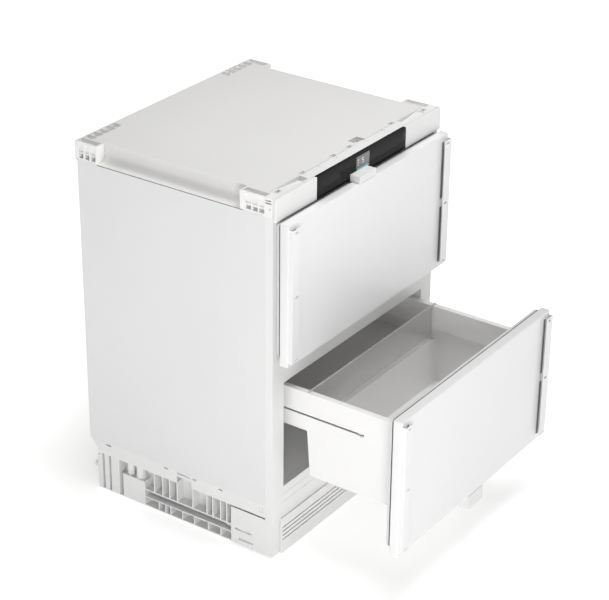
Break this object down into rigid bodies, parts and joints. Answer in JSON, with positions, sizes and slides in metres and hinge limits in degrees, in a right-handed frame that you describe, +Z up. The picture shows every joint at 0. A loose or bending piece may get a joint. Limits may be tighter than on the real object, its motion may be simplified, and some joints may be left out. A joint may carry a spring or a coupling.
{
  "type": "built-in under counter fridge, two drawers",
  "caption": "Built-in under counter refrigerator with two insulated drawers, no furniture fronts, black touch fascia, stepped lower drawer standing open.",
  "frame": {"origin": "on the floor, middle of the width, in the plane of the cabinet's front frame", "axes": "X across the width to the right seen from the front, Y to the back, Z up; the front faces -Y"},
  "size_m": [0.597, 0.8049, 0.82],
  "materials": {
    "case_steel": "satin grey powder coat",
    "white_steel": "satin white paint",
    "white_plastic": "smooth white moulded",
    "pale_plastic": "fine grained light grey moulded",
    "gasket_rubber": "soft white",
    "foam": "rigid insulation foam",
    "control_glass": "gloss black printed",
    "display_glass": "brushed look, gloss cover",
    "slide_steel": "zinc plated",
    "black_steel": "satin black paint",
    "smoked_clear": "smoked clear",
    "black_rubber": "matte",
    "light_lens": "frosted",
    "aluminium_plate": "mill finish"
  },
  "bodies": {
    "cabinet": {"side_panel_left": "case_steel", "side_panel_right": "case_steel", "back_panel": "case_steel", "bottom_panel": "case_steel", "upper_liner": "white_plastic", "lower_liner": "white_plastic", "air_duct_cover": "white_plastic", "front_frame": "white_plastic", "control_fascia": "white_plastic", "top_lid": "pale_plastic", "rear_left_bracket": "pale_plastic", "rear_right_bracket": "pale_plastic", "front_left_bracket": "pale_plastic", "front_right_bracket": "pale_plastic", "fascia_carrier": "pale_plastic", "base_frame_left": "pale_plastic", "base_frame_right": "pale_plastic", "front_foot_bracket_left": "pale_plastic", "front_foot_bracket_right": "pale_plastic", "air_grille": "pale_plastic", "evaporation_pan": "pale_plastic", "control_box": "pale_plastic", "foam_insulation": "foam", "control_glass": "control_glass", "display": "display_glass", "upper_slide_cabinet_rails": "slide_steel", "lower_slide_cabinet_rails": "slide_steel", "carrier_screws": "slide_steel", "compressor_tray": "slide_steel", "compressor": "black_steel", "condenser": "black_steel", "compressor_mounts": "black_rubber", "mains_inlet": "black_rubber", "fan_motor": "black_rubber", "light_bar": "light_lens", "evaporator": "aluminium_plate"},
    "upper_drawer": {"upper_front_panel": "white_steel", "upper_front_core": "foam", "upper_gasket": "gasket_rubber", "upper_furniture_strips": "white_steel", "upper_alignment_tab": "white_plastic", "upper_drawer_box": "white_plastic", "upper_slide_drawer_rails": "slide_steel"},
    "lower_drawer": {"lower_front_panel": "white_steel", "lower_front_core": "foam", "lower_gasket": "gasket_rubber", "lower_furniture_strips": "white_steel", "lower_alignment_tab": "white_plastic", "lower_drawer_box": "white_plastic", "lower_slide_drawer_rails": "slide_steel", "drawer_divider": "smoked_clear"},
    "upper_slides": {"upper_slide_middle_rails": "slide_steel"},
    "lower_slides": {"lower_slide_middle_rails": "slide_steel"},
    "foot_front_left": {"foot_front_left": "black_rubber"},
    "foot_front_right": {"foot_front_right": "black_rubber"},
    "foot_rear_left": {"foot_rear_left": "black_rubber"},
    "foot_rear_right": {"foot_rear_right": "black_rubber"},
    "adjusting_rod_left": {"adjusting_rod_left": "slide_steel"},
    "adjusting_rod_right": {"adjusting_rod_right": "slide_steel"},
    "circulation_fan": {"fan_wheel": "black_rubber"}
  },
  "joints": [
    {"name": "upper_drawer_slide", "type": "slide", "parent": "cabinet", "child": "upper_drawer", "axis": [0, -1, 0], "range_m": [0, 0.35]},
    {"name": "lower_drawer_slide", "type": "slide", "parent": "cabinet", "child": "lower_drawer", "axis": [0, -1, 0], "range_m": [-0.2684, 0.0816]},
    {"name": "upper_slides_travel", "type": "slide", "parent": "cabinet", "child": "upper_slides", "axis": [0, -1, 0], "range_m": [0, 0.175]},
    {"name": "lower_slides_travel", "type": "slide", "parent": "cabinet", "child": "lower_slides", "axis": [0, -1, 0], "range_m": [-0.1342, 0.0408]},
    {"name": "foot_front_left_screw", "type": "slide", "parent": "cabinet", "child": "foot_front_left", "axis": [0, 0, -1], "range_m": [0, 0.03]},
    {"name": "foot_front_right_screw", "type": "slide", "parent": "cabinet", "child": "foot_front_right", "axis": [0, 0, -1], "range_m": [0, 0.03]},
    {"name": "foot_rear_left_screw", "type": "slide", "parent": "cabinet", "child": "foot_rear_left", "axis": [0, 0, -1], "range_m": [0, 0.03]},
    {"name": "foot_rear_right_screw", "type": "slide", "parent": "cabinet", "child": "foot_rear_right", "axis": [0, 0, -1], "range_m": [0, 0.03]},
    {"name": "adjusting_rod_left_turn", "type": "hinge", "parent": "cabinet", "child": "adjusting_rod_left", "pos_m": [-0.2855, 0.2, 0.037], "axis": [0, -1, 0], "range_deg": [0, 7200]},
    {"name": "adjusting_rod_right_turn", "type": "hinge", "parent": "cabinet", "child": "adjusting_rod_right", "pos_m": [0.2855, 0.2, 0.037], "axis": [0, -1, 0], "range_deg": [0, 7200]},
    {"name": "circulation_fan_spin", "type": "hinge", "parent": "cabinet", "child": "circulation_fan", "pos_m": [0, 0.42, 0.626], "axis": [0, -1, 0], "continuous": true}
  ],
  "couplings": [
    {"joint": "upper_slides_travel", "follows": "upper_drawer_slide", "ratio": 0.5},
    {"joint": "lower_slides_travel", "follows": "lower_drawer_slide", "ratio": 0.5},
    {"joint": "foot_rear_left_screw", "follows": "adjusting_rod_left_turn", "m_per_rad": 0.00023873},
    {"joint": "foot_rear_right_screw", "follows": "adjusting_rod_right_turn", "m_per_rad": 0.00023873}
  ]
}
